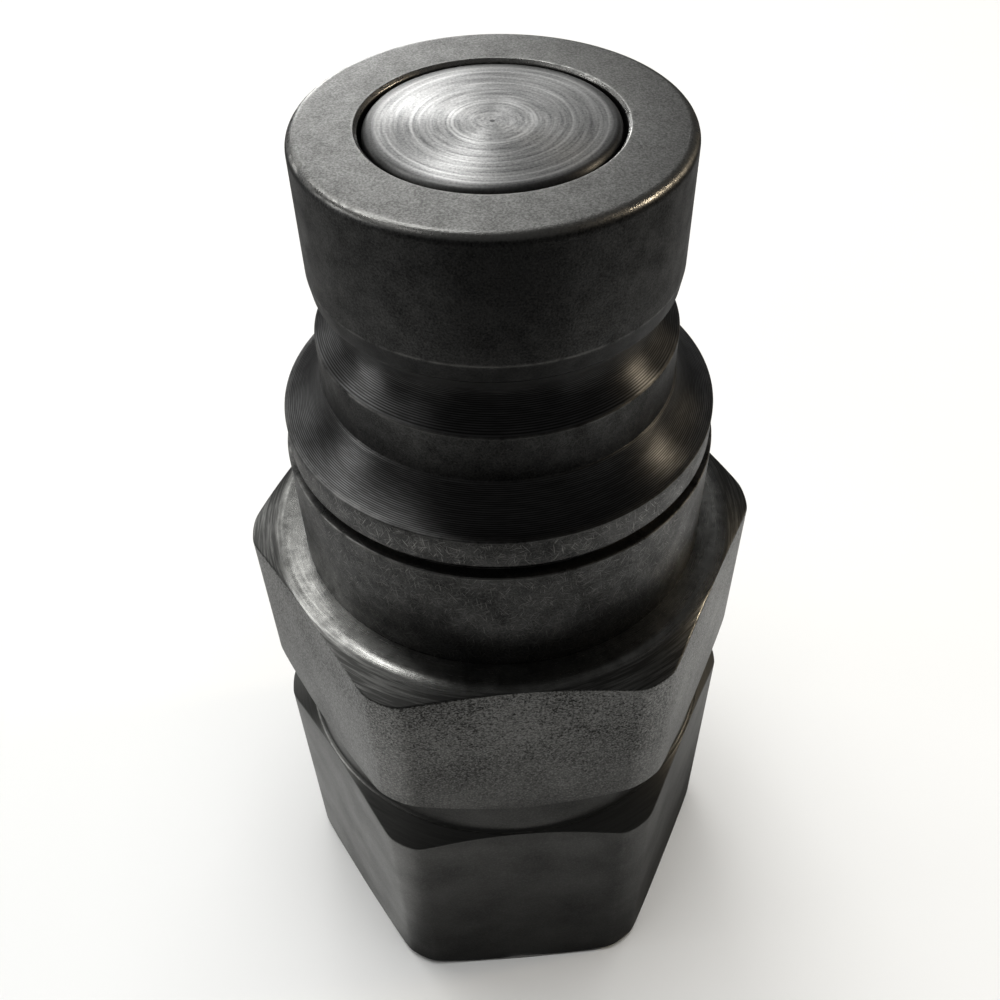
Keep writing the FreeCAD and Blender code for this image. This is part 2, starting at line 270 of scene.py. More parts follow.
# Zinc-nickel plating on tumbled steel gives a satin grey. The skin of the bar shows as specks and
# pits 0.27 mm apart near the top. The end ring was faced smooth and silvery, and the chamfer beside
# it keeps dark lathe marks with bright scratches 0.2 mm apart. Corners are rubbed brighter
speck_spacing, mark_spacing, cloud_width, blotches_per_mm = 0.27, 0.2, 5.0, 0.9
speck_start, speck_full = 28.0, 44.0
corner_edge = 3.9
bar_dark, bar_light, waist_shade_colour = "#2c2c2b", "#8e8e8c", "#2c2c2b"
chamfer_dark, chamfer_light, ring_dark, ring_light = "#5c5c5a", "#b2b2ae", "#636361", "#d4d4cf"
spread_across_marks = 0.25
relief_depth = 0.00003
adapter_finish, tree, shader, place = new_finish(
    "zinc_nickel_plated_steel", {"Metallic": 1.0, "Anisotropic Rotation": spread_across_marks})
outward, radius, height = round_axis(tree, place)
grain = add(tree, "TexNoise", {"Scale": 1 / speck_spacing, "Detail": 3.0, "Roughness": 0.75}, {
    "Vector": place})["Fac"]
fine_grain = add(tree, "TexNoise", {"Scale": 1.7 / speck_spacing, "Detail": 2.0}, {
    "Vector": place})["Fac"]
cloud = add(tree, "TexNoise", {"Scale": 1 / cloud_width, "Detail": 4.0}, {"Vector": place})["Fac"]
blotch = add(tree, "TexNoise", {"Scale": blotches_per_mm, "Detail": 5.0, "Roughness": 0.65}, {
    "Vector": place})["Fac"]
ring_number = add(tree, "Math", {"operation": "DIVIDE", 1: mark_spacing}, {0: radius})[0]
lathe_marks = add(tree, "TexNoise", {"Scale": 1.0, "Detail": 3.0, "Roughness": 0.7}, {
    "Vector": wound(tree, outward, 4, ring_number)})["Fac"]
marks_open = by_stops(tree, height, [
    (0, 0.15), (waist_top, 0.15), (waist_top + 3, 1), (hex_top, 1)])
lathe_marks = add(tree, "Mix", {"data_type": "FLOAT", 2: 0.5}, {0: marks_open, 3: lathe_marks})[0]
upward = add(tree, "SeparateXYZ", {}, {0: add(tree, "NewGeometry")["Normal"]})["Z"]
facing = add(tree, "Math", {"operation": "ABSOLUTE"}, {0: upward})[0]
turned = add(tree, "MapRange", {"From Min": 0.45, "From Max": 0.7}, {"Value": facing})[0]
faced = add(tree, "MapRange", {"From Min": 0.925, "From Max": 0.985}, {"Value": facing})[0]
speckled = add(tree, "MapRange", {
    "From Min": speck_start, "From Max": speck_full, "To Min": 0.15}, {"Value": height})[0]
pits = add(tree, "MapRange", {"From Min": 0.34, "From Max": 0.52, "To Min": 1.0, "To Max": 0.0}, {
    "Value": grain})[0]
pits = add(tree, "Math", {"operation": "MULTIPLY"}, {0: pits, 1: speckled})[0]
specks = add(tree, "MapRange", {"From Min": 0.48, "From Max": 0.68}, {"Value": fine_grain})[0]
specks = add(tree, "Math", {"operation": "MULTIPLY"}, {0: specks, 1: speckled})[0]
bar_tone = add(tree, "MapRange", {
    "From Min": 0.3, "From Max": 0.7, "To Min": 0.3, "To Max": 0.6}, {"Value": cloud})[0]
bar_tone = add(tree, "Math", {"operation": "MULTIPLY_ADD", 1: -0.6}, {0: pits, 2: bar_tone})[0]
bar_tone = add(tree, "Math", {"operation": "MULTIPLY_ADD", 1: 1.2}, {0: specks, 2: bar_tone})[0]
ways = add(tree, "SeparateXYZ", {}, {0: place})
way_round = add(tree, "Math", {"operation": "ARCTAN2"}, {0: ways["Y"], 1: ways["X"]})[0]
off_corner = add(tree, "Math", {"operation": "PINGPONG", 1: 30}, {0: add(
    tree, "Math", {"operation": "DEGREES"}, {0: way_round})[0]})[0]
rubbed = by_stops(tree, off_corner, [
    (0, 0.05), (corner_edge - 0.9, 0.05), (corner_edge, 0.3), (corner_edge + 1.5, 0), (30, 0)])
rubbed = add(tree, "Math", {"operation": "MULTIPLY"}, {0: rubbed, 1: add(
    tree, "MapRange", {"From Min": 0.35, "From Max": 0.7}, {"Value": blotch})[0]})[0]
bar_tone = add(tree, "Math", {"operation": "MULTIPLY_ADD", 1: 0.6, "use_clamp": True}, {
    0: rubbed, 2: bar_tone})[0]
bar_colour = add(tree, "Mix", {"data_type": "RGBA", 6: linear(bar_dark), 7: linear(bar_light)}, {
    0: bar_tone})[2]
scratch_tone = add(tree, "MapRange", {"From Min": 0.45, "From Max": 0.8}, {
    "Value": lathe_marks})[0]
chamfer_colour = add(tree, "Mix", {
    "data_type": "RGBA", 6: linear(chamfer_dark), 7: linear(chamfer_light)}, {0: scratch_tone})[2]
ring_blotch = add(tree, "MapRange", {
    "From Min": 0.35, "From Max": 0.65, "To Min": -0.2, "To Max": 0.2}, {"Value": blotch})[0]
ring_tone = add(tree, "Math", {"operation": "MULTIPLY_ADD", 1: 0.8}, {
    0: lathe_marks, 2: ring_blotch})[0]
ring_colour = add(tree, "Mix", {"data_type": "RGBA", 6: linear(ring_dark), 7: linear(ring_light)}, {
    0: ring_tone})[2]
colour = add(tree, "Mix", {"data_type": "RGBA"}, {0: faced, 6: chamfer_colour, 7: ring_colour})[2]
colour = add(tree, "Mix", {"data_type": "RGBA"}, {0: turned, 6: bar_colour, 7: colour})[2]
# Painted shade: the waist between the hexagons and the chamfers next to it are darkened towards a
# near-black grey, where shade falls between the two hexagons. The same band is also made duller and
# its relief flatter.
waist_painted_shade = by_stops(tree, height, [
    (0, 0), (waist_bottom - 2.3, 0.05), (waist_bottom - 1.1, 0.25), (waist_bottom, 0.32),
    (waist_top, 0.25), (waist_top + 0.85, 0.08), (waist_top + 1.85, 0), (hex_top, 0)])
colour = add(tree, "Mix", {"data_type": "RGBA", 7: linear(waist_shade_colour)}, {0: waist_painted_shade, 6: colour})[2]
bar_gloss = add(tree, "MapRange", {"To Min": 0.52, "To Max": 0.4}, {"Value": cloud})[0]
mark_gloss = add(tree, "MapRange", {
    "From Min": 0.3, "From Max": 0.7, "To Min": 0.36, "To Max": 0.26}, {"Value": lathe_marks})[0]
mark_gloss = add(tree, "Math", {"operation": "MULTIPLY_ADD", 1: -0.06}, {
    0: faced, 2: mark_gloss})[0]
dullness = add(tree, "Mix", {"data_type": "FLOAT"}, {0: turned, 2: bar_gloss, 3: mark_gloss})[0]
dullness = add(tree, "Mix", {"data_type": "FLOAT", 3: 0.5}, {0: waist_painted_shade, 2: dullness})[0]
bar_relief = add(tree, "Math", {"operation": "MULTIPLY_ADD", 1: -1.2}, {
    0: pits, 2: fine_grain})[0]
mark_relief = add(tree, "Math", {"operation": "MULTIPLY_ADD", 1: 0.6}, {0: lathe_marks, 2: add(
    tree, "Math", {"operation": "MULTIPLY", 1: 0.15}, {0: blotch})[0]})[0]
relief = add(tree, "Mix", {"data_type": "FLOAT"}, {0: turned, 2: bar_relief, 3: mark_relief})[0]
relief = add(tree, "Mix", {"data_type": "FLOAT", 3: 0.5}, {0: waist_painted_shade, 2: relief})[0]
wire(tree, shader, {
    "Base Color": colour, "Roughness": dullness,
    "Normal": add(tree, "Bump", {"Strength": 0.35, "Distance": relief_depth}, {
        "Height": relief})["Normal"],
    "Anisotropic": add(tree, "Math", {"operation": "MULTIPLY", 1: 0.6}, {0: turned})[0],
    "Tangent": add(tree, "Tangent", {"direction_type": "RADIAL", "axis": "Z"})[0]})
give(adapter, adapter_finish)
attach(adapter, "plug_body")
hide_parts("hex_adapter")

# Nipple body
# The round body of hardened steel, turned in one piece and zinc-nickel plated a darker grey. Its
# threaded tail screws into the adapter, so only the part above the hexagon is seen.
nose_radius, nose_edge, face_height = 12.25, 0.7, 80.047
nose_bottom, nose_back_radius, groove_top = 71.397, 12.06, 70.147
groove_floor, groove_curve, groove_middle = 10.75, 1.6, 68.004
rim_radius, rim_top, rim_bottom = 12.38, 65.95, 63.2
flare_length, flare_lead = 3.4, 17
collar_radius, collar_bottom, collar_edge = 15.33, 57.3, 0.3
neck_radius, neck_bottom = 14.7, 56.6
base_radius = 15.6
tail_radius, tail_bottom, tail_chamfer = 14.0, 34.7, 0.6
gland_radius, gland_top, gland_bottom = 12.4, 46.3, 43.3
bore_radius, bore_bottom, mouth_chamfer = 8.0, 73.547, 0.2
front_chamber_radius, front_chamber_bottom = 9.3, 67.047
rear_chamber_radius, rear_chamber_top = 11.0, 64.103
sharp_edge = 0.05

# The flare is one hollow arc from the rim to the collar. Its first 17 degrees, almost upright, are
# cut straight, as the rim's cylinder is
collar_top = rim_bottom - flare_length
flare_spread = collar_radius - rim_radius
flare_curve = (flare_spread ** 2 + flare_length ** 2) / (2 * flare_spread)
flare_end = 180 + math.degrees(math.acos((flare_curve - flare_spread) / flare_curve))
flare_start = rim_bottom - flare_curve * math.sin(math.radians(flare_lead))
groove_centre = (groove_floor + groove_curve, groove_middle)
flare_centre = (rim_radius + flare_curve, rim_bottom)
body_outline = [
    (bore_radius + mouth_chamfer, face_height, sharp_edge),
    *arc((nose_radius - nose_edge, face_height - nose_edge), nose_edge, 90, 0, 8),
    (nose_radius, nose_bottom, 0.08),
    (nose_back_radius, groove_top, 0.06),
    *arc(groove_centre, groove_curve, 140, 232, 12),
    (rim_radius, rim_top, 0.06),
    (rim_radius, flare_start + 0.14, sharp_edge),
    *arc(flare_centre, flare_curve, 180 + flare_lead, flare_end, 12)[:-1],
    (collar_radius, collar_top, 0.06),
    *arc((collar_radius - collar_edge, collar_bottom + collar_edge), collar_edge, 0, -90, 4),
    (neck_radius, collar_bottom, 0.04),
    (neck_radius, neck_bottom, 0.04),
    (base_radius, neck_bottom, 0.1),
    (base_radius, hex_top, 0.08),
    (tail_radius, hex_top, sharp_edge),
    (tail_radius, gland_top, sharp_edge),
    (gland_radius, gland_top, sharp_edge),
    (gland_radius, gland_bottom, sharp_edge),
    (tail_radius, gland_bottom, sharp_edge),
    (tail_radius, tail_bottom + tail_chamfer, sharp_edge),
    (tail_radius - tail_chamfer, tail_bottom, sharp_edge),
    (rear_chamber_radius, tail_bottom, sharp_edge),
    (rear_chamber_radius, rear_chamber_top, sharp_edge),
    (front_chamber_radius, front_chamber_bottom, sharp_edge),
    (front_chamber_radius, bore_bottom - (front_chamber_radius - bore_radius), sharp_edge),
    (bore_radius, bore_bottom, sharp_edge),
    (bore_radius, face_height - mouth_chamfer, sharp_edge),
]
body_angles = np.radians(np.arange(360))
body = skin("plated_body", body_angles, eased(body_outline, len(body_angles)))

# Dark zinc-nickel plating over tumbled steel is a cloudy near-black grey. The flat face is lighter
# where it was wiped and worn. The groove and the flare keep the lathe's feed marks, 0.14 mm apart
# as in the photo, which spread each light across them and keep it narrow on the way round
feed, body_cloud_width, scratch_width, scratch_length = 0.14, 1.6, 0.07, 1.4
grains_per_mm, burrs_per_mm, nicks_per_mm = 8.0, 1.6, 0.7
plain_dark, plain_light, body_shade_colour = "#303030", "#5e5e5d", "#1c1c1c"
cut_dark, cut_light, face_dark, face_light = "#383837", "#727272", "#70706e", "#a6a6a3"
bare_steel = "#b4b3af"
highlight_way, highlight_spread = (-0.3, -0.95, 0), (0.8, 0.95)
body_finish, tree, shader, place = new_finish("dark_zinc_nickel_plating", {
    "Metallic": 1.0, "Anisotropic Rotation": spread_across_marks})
outward, radius, height = round_axis(tree, place)
cloud = add(tree, "TexNoise", {"Scale": 1 / body_cloud_width, "Detail": 5.0, "Roughness": 0.6}, {
    "Vector": place})["Fac"]
grain = add(tree, "TexNoise", {"Scale": grains_per_mm, "Detail": 2.0, "Roughness": 0.6}, {
    "Vector": place})["Fac"]
turned = by_stops(tree, height, [
    (hex_top, 0), (collar_top - 0.05, 0), (collar_top + 0.05, 1), (flare_start, 1),
    (flare_start + 0.1, 0), (rim_top, 0), (rim_top + 0.1, 1), (groove_top - 0.15, 1),
    (groove_top + 0.05, 0), (face_height, 0)])
worn = by_stops(tree, height, [
    (hex_top, 0), (neck_bottom - 0.15, 0), (neck_bottom - 0.03, 1), (neck_bottom + 0.02, 0),
    (collar_top - 0.1, 0), (collar_top - 0.01, 0.5), (collar_top + 0.05, 0),
    (flare_start, 0), (flare_start + 0.06, 0.4), (flare_start + 0.14, 0),
    (rim_top - 0.1, 0), (rim_top, 0.7), (rim_top + 0.1, 0),
    (nose_bottom - 0.07, 0), (nose_bottom + 0.02, 0.8), (nose_bottom + 0.12, 0), (face_height, 0)])
# Painted shade: darker at the foot of the body, in the crease just above the hexagon, and on the
# narrow cone under the nose, where shade falls.
body_painted_shade = by_stops(tree, height, [
    (hex_top, 0.5), (hex_top + 0.8, 0), (groove_top - 0.25, 0), (groove_top + 0.05, 0.75),
    (nose_bottom - 0.1, 0.75), (nose_bottom, 0), (face_height, 0)])
face = by_stops(tree, height, [
    (face_height - 0.45, 0), (face_height - 0.15, 0.75), (face_height - 0.05, 1), (face_height, 1)])


def along_arc(tree, radius, height, centre, curve):
    """Distance in mm along a hollow arc of the outline, which has this (radius, height) centre."""
    inward = add(tree, "Math", {"operation": "SUBTRACT", 0: centre[0]}, {1: radius})[0]
    down = add(tree, "Math", {"operation": "SUBTRACT", 0: centre[1]}, {1: height})[0]
    turn = add(tree, "Math", {"operation": "ARCTAN2"}, {0: down, 1: inward})[0]
    return add(tree, "Math", {"operation": "MULTIPLY", 1: curve}, {0: turn})[0]


in_groove = add(tree, "Math", {"operation": "GREATER_THAN", 1: rim_top}, {0: height})[0]
along = add(tree, "Mix", {"data_type": "FLOAT"}, {
    0: in_groove, 2: along_arc(tree, radius, height, flare_centre, flare_curve),
    3: along_arc(tree, radius, height, groove_centre, groove_curve)})[0]
feed_number = add(tree, "Math", {"operation": "DIVIDE", 1: feed}, {0: along})[0]
feed_noise = add(tree, "TexNoise", {"Scale": 0.7, "Detail": 1.0}, {
    "Vector": wound(tree, place, 1, feed_number)})["Fac"]
feed_wave = add(tree, "Math", {"operation": "SINE"}, {0: add(
    tree, "Math", {"operation": "MULTIPLY", 1: 2 * math.pi}, {0: feed_number})[0]})[0]
feed_crest = add(tree, "MapRange", {"From Min": -0.9, "From Max": 0.9}, {"Value": feed_wave})[0]
feed_dash = add(tree, "MapRange", {"From Min": 0.38, "From Max": 0.6, "To Min": 0.6}, {
    "Value": feed_noise})[0]
feed_marks = add(tree, "Math", {"operation": "MULTIPLY"}, {0: feed_crest, 1: feed_dash})[0]

# Scratches lie in five directions on the body's surface, laid out flat in mm
ways = add(tree, "SeparateXYZ", {}, {0: add(
    tree, "VectorMath", {"operation": "SCALE", "Scale": -1}, {0: place})[0]})
round_it = add(tree, "Math", {"operation": "MULTIPLY", 1: base_radius}, {0: add(
    tree, "Math", {"operation": "ARCTAN2"}, {0: ways["X"], 1: ways["Y"]})[0]})[0]
unrolled = add(tree, "CombineXYZ", {}, {0: round_it, 1: add(
    tree, "Math", {"operation": "SUBTRACT"}, {0: height, 1: radius})[0]})[0]
scratches = None
for rotation in (0.25, 0.95, 1.45, 2.1, 2.75):
    laid = add(tree, "Mapping", {
        "vector_type": "TEXTURE", "Location": (40 * rotation, 0, 0), "Rotation": (0, 0, rotation),
        "Scale": (scratch_length, scratch_width, 1)}, {"Vector": unrolled})[0]
    line = add(tree, "TexNoise", {"noise_dimensions": "2D", "Scale": 1.0, "Detail": 1.0}, {
        "Vector": laid})["Fac"]
    cut = add(tree, "MapRange", {"From Min": 0.7, "From Max": 0.8}, {"Value": line})[0]
    scratches = cut if scratches is None else add(tree, "Math", {"operation": "MAXIMUM"}, {
        0: cut, 1: scratches})[0]
handled = by_stops(tree, height, [
    (hex_top, 0.5), (neck_bottom - 0.3, 0.7), (collar_bottom + 0.1, 1), (collar_top - 0.3, 1),
    (collar_top, 0), (flare_start, 0), (rim_bottom - 0.2, 0.25), (rim_top - 0.15, 0.25),
    (rim_top + 0.25, 0), (nose_bottom - 0.1, 0), (nose_bottom + 0.2, 0.12),
    (face_height - 2.05, 0.1), (face_height, 0.25)])
scratches = add(tree, "Math", {"operation": "MULTIPLY"}, {0: scratches, 1: handled})[0]

# Bare steel shows in the scratches, at the rubbed edges, round the bore's mouth and in the nicks of
# the nose's edge. On the front-left of the nose's edge it is also painted in as a highlight
bared = add(tree, "Math", {"operation": "MAXIMUM"}, {0: scratches, 1: add(
    tree, "Math", {"operation": "MULTIPLY"}, {0: worn, 1: add(
        tree, "MapRange", {"From Min": 0.35, "From Max": 0.6}, {"Value": cloud})[0]})[0]})[0]
bared = add(tree, "Math", {"operation": "MULTIPLY", 1: 0.55}, {0: bared})[0]
mouth = by_stops(tree, radius, [
    (0, 0), (bore_radius - 0.1, 0), (bore_radius + 0.05, 0.9), (bore_radius + 0.2, 0.7),
    (bore_radius + 0.4, 0), (base_radius, 0)])
mouth = add(tree, "Math", {"operation": "MULTIPLY"}, {0: mouth, 1: face})[0]
burr = add(tree, "TexNoise", {"Scale": burrs_per_mm, "Detail": 2.0}, {"Vector": place})["Fac"]
mouth = add(tree, "Math", {"operation": "MULTIPLY"}, {0: mouth, 1: add(
    tree, "MapRange", {"From Min": 0.42, "From Max": 0.58, "To Min": 0.25}, {"Value": burr})[0]})[0]
nick_band = by_stops(tree, height, [
    (hex_top, 0), (face_height - 0.347, 0), (face_height - 0.247, 0.8), (face_height - 0.017, 1),
    (face_height - 0.004, 0.6), (face_height, 0)])
nicks = add(tree, "MapRange", {"From Min": 0.38, "From Max": 0.55}, {"Value": add(
    tree, "TexNoise", {"Scale": nicks_per_mm, "Detail": 3.0, "Roughness": 0.7}, {
        "Vector": place})["Fac"]})[0]
# Painted highlight: on the front-left of the nose's edge, where the light falls on it, the edge is
# painted as bright bare steel; elsewhere the nicks follow the noise.
highlight_side = add(tree, "VectorMath", {"operation": "DOT_PRODUCT", 1: highlight_way}, {
    0: outward})["Value"]
highlight_side = add(tree, "MapRange", {
    "From Min": highlight_spread[0], "From Max": highlight_spread[1], "To Max": 0.8}, {"Value": highlight_side})[0]
nicks = add(tree, "Math", {"operation": "MAXIMUM"}, {0: nicks, 1: highlight_side})[0]
nicks = add(tree, "Math", {"operation": "MULTIPLY"}, {0: nicks, 1: nick_band})[0]
bared = add(tree, "Math", {"operation": "MAXIMUM"}, {0: bared, 1: mouth})[0]
bared = add(tree, "Math", {"operation": "MAXIMUM"}, {0: bared, 1: nicks})[0]

plain_tone = add(tree, "MapRange", {"From Min": 0.36, "From Max": 0.66}, {"Value": add(
    tree, "Math", {"operation": "MULTIPLY_ADD", 1: 0.6}, {0: grain, 2: add(
        tree, "Math", {"operation": "MULTIPLY", 1: 0.4}, {0: cloud})[0]})[0]})[0]
colour = add(tree, "Mix", {"data_type": "RGBA", 6: linear(plain_dark), 7: linear(plain_light)}, {
    0: plain_tone})[2]
cut_colour = add(tree, "Mix", {"data_type": "RGBA", 6: linear(cut_dark), 7: linear(cut_light)}, {
    0: feed_marks})[2]
colour = add(tree, "Mix", {"data_type": "RGBA"}, {0: turned, 6: colour, 7: cut_colour})[2]
colour = add(tree, "Mix", {"data_type": "RGBA", 7: linear(body_shade_colour)}, {0: body_painted_shade, 6: colour})[2]
face_tone = add(tree, "MapRange", {"From Min": 0.36, "From Max": 0.64}, {"Value": grain})[0]
face_tone = add(tree, "Mix", {"data_type": "FLOAT", 0: 0.5}, {2: face_tone, 3: plain_tone})[0]
face_colour = add(tree, "Mix", {"data_type": "RGBA", 6: linear(face_dark), 7: linear(face_light)}, {
    0: face_tone})[2]
colour = add(tree, "Mix", {"data_type": "RGBA"}, {0: face, 6: colour, 7: face_colour})[2]
colour = add(tree, "Mix", {"data_type": "RGBA", 7: linear(bare_steel)}, {0: bared, 6: colour})[2]
plain_gloss = add(tree, "MapRange", {
    "From Min": 0.3, "From Max": 0.7, "To Min": 0.5, "To Max": 0.38}, {"Value": cloud})[0]
dullness = add(tree, "Mix", {"data_type": "FLOAT", 3: 0.38}, {0: turned, 2: plain_gloss})[0]
dullness = add(tree, "Mix", {"data_type": "FLOAT", 3: 0.2}, {0: bared, 2: dullness})[0]
feed_relief = add(tree, "Math", {"operation": "MULTIPLY", 1: 0.35}, {0: add(
    tree, "Math", {"operation": "ADD"}, {0: grain, 1: feed_marks})[0]})[0]
relief = add(tree, "Mix", {"data_type": "FLOAT"}, {0: turned, 2: grain, 3: feed_relief})[0]
relief = add(tree, "Math", {"operation": "MULTIPLY_ADD", 1: -0.4}, {0: scratches, 2: relief})[0]
wire(tree, shader, {
    "Base Color": colour, "Roughness": dullness,
    "Normal": add(tree, "Bump", {"Strength": 0.4, "Distance": relief_depth}, {
        "Height": relief})["Normal"],
    "Anisotropic": add(tree, "Math", {"operation": "MULTIPLY", 1: 0.92}, {0: turned})[0],
    "Tangent": add(tree, "Tangent", {"direction_type": "RADIAL", "axis": "Z"})[0]})
give(body, body_finish)
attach(body, "plug_body")
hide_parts("nipple_body")

# Poppet head
# The flat disc that shuts the bore, faced bright on a lathe. Its shank screws into the stem and
# clamps the seal behind it.
disc_radius, disc_top, disc_bottom, disc_edge = 7.75, 79.997, 78.197, 0.45
shank_radius, shank_bottom = 2.5, 69.197
disc_outline = [
    (0, shank_bottom, 0),
    (shank_radius, shank_bottom, 0.1),
    (shank_radius, disc_bottom, 0.05),
    (disc_radius, disc_bottom, 0.08),
    *arc((disc_radius - disc_edge, disc_top - disc_edge), disc_edge, 0, 90, 6),
    (0, disc_top, 0),
]
disc_angles = np.radians(np.arange(0, 360, 1.5))
disc = skin("faced_poppet", disc_angles, eased(disc_outline, len(disc_angles)), closed=False)
weld = disc.modifiers.new("axis", "WELD")
weld.merge_threshold = 0.000001

# Bright faced steel keeps the rings of the facing tool, 0.2 mm apart with a few deeper ones, which
# spread each light into a streak from the middle. The face leans outward by a few degrees near its
# edge. Painted shade darkens that edge where it rounds down into the gap by the bore, and the tool
# leaves a small dark mark at the centre.
facing_feed, wipes_per_mm, broad_rings_per_mm = 0.2, 6.0, 1.3
bright_dark, bright_light, rim_shade_colour = "#808080", "#e4e4e2", "#3a3a39"
disc_finish, tree, shader, place = new_finish("faced_bright_steel", {
    "Metallic": 1.0, "Anisotropic": 0.7, "Anisotropic Rotation": spread_across_marks})
outward, radius, height = round_axis(tree, place)
ring_number = add(tree, "Math", {"operation": "DIVIDE", 1: facing_feed}, {0: radius})[0]
rings = add(tree, "TexNoise", {"Scale": 1.0, "Detail": 2.0}, {
    "Vector": wound(tree, outward, 1.6, ring_number)})["Fac"]
wiped = add(tree, "TexNoise", {"Scale": wipes_per_mm, "Detail": 3.0, "Roughness": 0.7}, {
    "Vector": place})["Fac"]
broad = add(tree, "TexNoise", {"Scale": broad_rings_per_mm, "Detail": 1.0}, {
    "Vector": wound(tree, outward, 0.5, radius)})["Fac"]
deep_rings = by_stops(tree, radius, [
    (0, 0), (2.25, 0), (2.4, 1), (2.5, 0.1), (2.62, 1), (2.75, 0), (4.7, 0), (4.8, 0.7), (4.95, 0),
    (6.2, 0), (6.35, 0.8), (6.5, 0), (6.75, 0), (6.9, 1), (7.05, 0), (disc_radius, 0)])
cut = add(tree, "Math", {"operation": "MULTIPLY_ADD", 1: 0.16}, {0: deep_rings, 2: add(
    tree, "Mix", {"data_type": "FLOAT", 0: 0.5}, {2: rings, 3: wiped})[0]})[0]
tone = add(tree, "MapRange", {"From Min": 0.34, "From Max": 0.7}, {"Value": cut})[0]
colour = add(tree, "Mix", {"data_type": "RGBA", 6: linear(bright_dark), 7: linear(bright_light)}, {
    0: tone})[2]
# Painted shade: the disc darkens towards its rounded edge, where it dips into the gap by the bore;
# the small dark spot at the centre is the tool's mark.
pip_and_rim_shade = by_stops(tree, radius, [
    (0, 0.8), (0.12, 0.8), (0.2, 0), (6.6, 0), (6.95, 0.25), (7.3, 0.75), (disc_radius, 0.9)])
colour = add(tree, "Mix", {"data_type": "RGBA", 7: linear(rim_shade_colour)}, {0: pip_and_rim_shade, 6: colour})[2]
dullness = add(tree, "MapRange", {
    "From Min": 0.3, "From Max": 0.7, "To Min": 0.42, "To Max": 0.36}, {"Value": broad})[0]
lean = by_stops(tree, radius, [
    (0, 0), (1.5, 0.03), (3, 0.1), (6.2, 0.13), (6.8, 0.08), (disc_radius, 0.08)])
leaning = add(tree, "VectorMath", {"operation": "ADD"}, {
    0: add(tree, "VectorMath", {"operation": "SCALE"}, {0: outward, "Scale": lean})[0],
    1: add(tree, "NewGeometry")["Normal"]})[0]
leaning = add(tree, "VectorMath", {"operation": "NORMALIZE"}, {0: leaning})[0]
wire(tree, shader, {
    "Base Color": colour, "Roughness": dullness,
    "Normal": add(tree, "Bump", {"Strength": 0.1, "Distance": relief_depth}, {
        "Height": cut, "Normal": leaning})["Normal"],
    "Tangent": add(tree, "Tangent", {"direction_type": "RADIAL", "axis": "Z"})[0]})
give(disc, disc_finish)
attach(disc, "poppet")
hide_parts("poppet_head")

# Poppet seal
# A moulded rubber ring that the disc clamps against its stiff white backup ring. Both sit on the
# stem's spigot, and the shape of the CAD rings is kept.
flow_spacing = 0.8
inner_relief_depth = 0.00002


def plain_looks(tree, shader, tone, colours, surface, gloss, strength, spread=(0, 1)):
    """Colour that follows the tone, and roughness and a fine relief that follow the surface."""
    colour = add(tree, "Mix", {
        "data_type": "RGBA", 6: linear(colours[0]), 7: linear(colours[1])}, {0: tone})[2]
    dullness = add(tree, "MapRange", {
        "From Min": spread[0], "From Max": spread[1], "To Min": gloss[0], "To Max": gloss[1]}, {
        "Value": surface})[0]
    relief = add(tree, "Bump", {"Strength": strength, "Distance": inner_relief_depth}, {
        "Height": surface})["Normal"]
    wire(tree, shader, {"Base Color": colour, "Roughness": dullness, "Normal": relief})


# Moulded rubber is near black, with the soft flow marks of the mould
rubber_finish, tree, shader, place = new_finish("black_nitrile_rubber", {"Metallic": 0.0})
bloom = add(tree, "TexNoise", {"Scale": 1 / flow_spacing, "Detail": 4.0}, {"Vector": place})["Fac"]
plain_looks(tree, shader, bloom, ("#161617", "#242425"), bloom, (0.4, 0.62), 0.25)
give(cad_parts["poppet_seal_ring"], rubber_finish)


def lathe_lines(tree, place, feed, detail):
    """Noise that changes at each step of the tool's feed, on round sides and flat ends alike."""
    _, radius, height = round_axis(tree, place)
    line_number = add(tree, "Math", {"operation": "DIVIDE", 1: feed}, {0: add(
        tree, "Math", {"operation": "ADD"}, {0: radius, 1: height})[0]})[0]
    return add(tree, "TexNoise", {"noise_dimensions": "1D", "Scale": 1.0, "Detail": detail}, {
        "W": line_number})["Fac"]


# White PTFE is turned from rod: waxy, with the tool's lines 0.12 mm apart round it
ptfe_feed = 0.12
ptfe_finish, tree, shader, place = new_finish("white_ptfe", {"Metallic": 0.0})
lines = lathe_lines(tree, place, ptfe_feed, 1.0)
plain_looks(tree, shader, lines, ("#dedcd5", "#efeeea"), lines, (0.3, 0.5), 0.2)
give(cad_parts["poppet_backup_ring"], ptfe_finish)

# Poppet stem
# Turned from steel bar, with the slotted stop flange and the spring's pilot. It is left bare, and
# the shape of the CAD stem is kept. It slides in the valve guide.
stem_feed, stem_film_width = 0.18, 1 / 0.3
stem_finish, tree, shader, place = new_finish("turned_bare_steel", {"Metallic": 1.0})
film = add(tree, "TexNoise", {"Scale": 1 / stem_film_width, "Detail": 3.0}, {
    "Vector": place})["Fac"]
plain_looks(tree, shader, film, ("#8b8985", "#b9b8b4"), lathe_lines(tree, place, stem_feed, 2.0),
            (0.22, 0.42), 0.35, spread=(0.3, 0.7))
give(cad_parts["poppet_stem"], stem_finish)

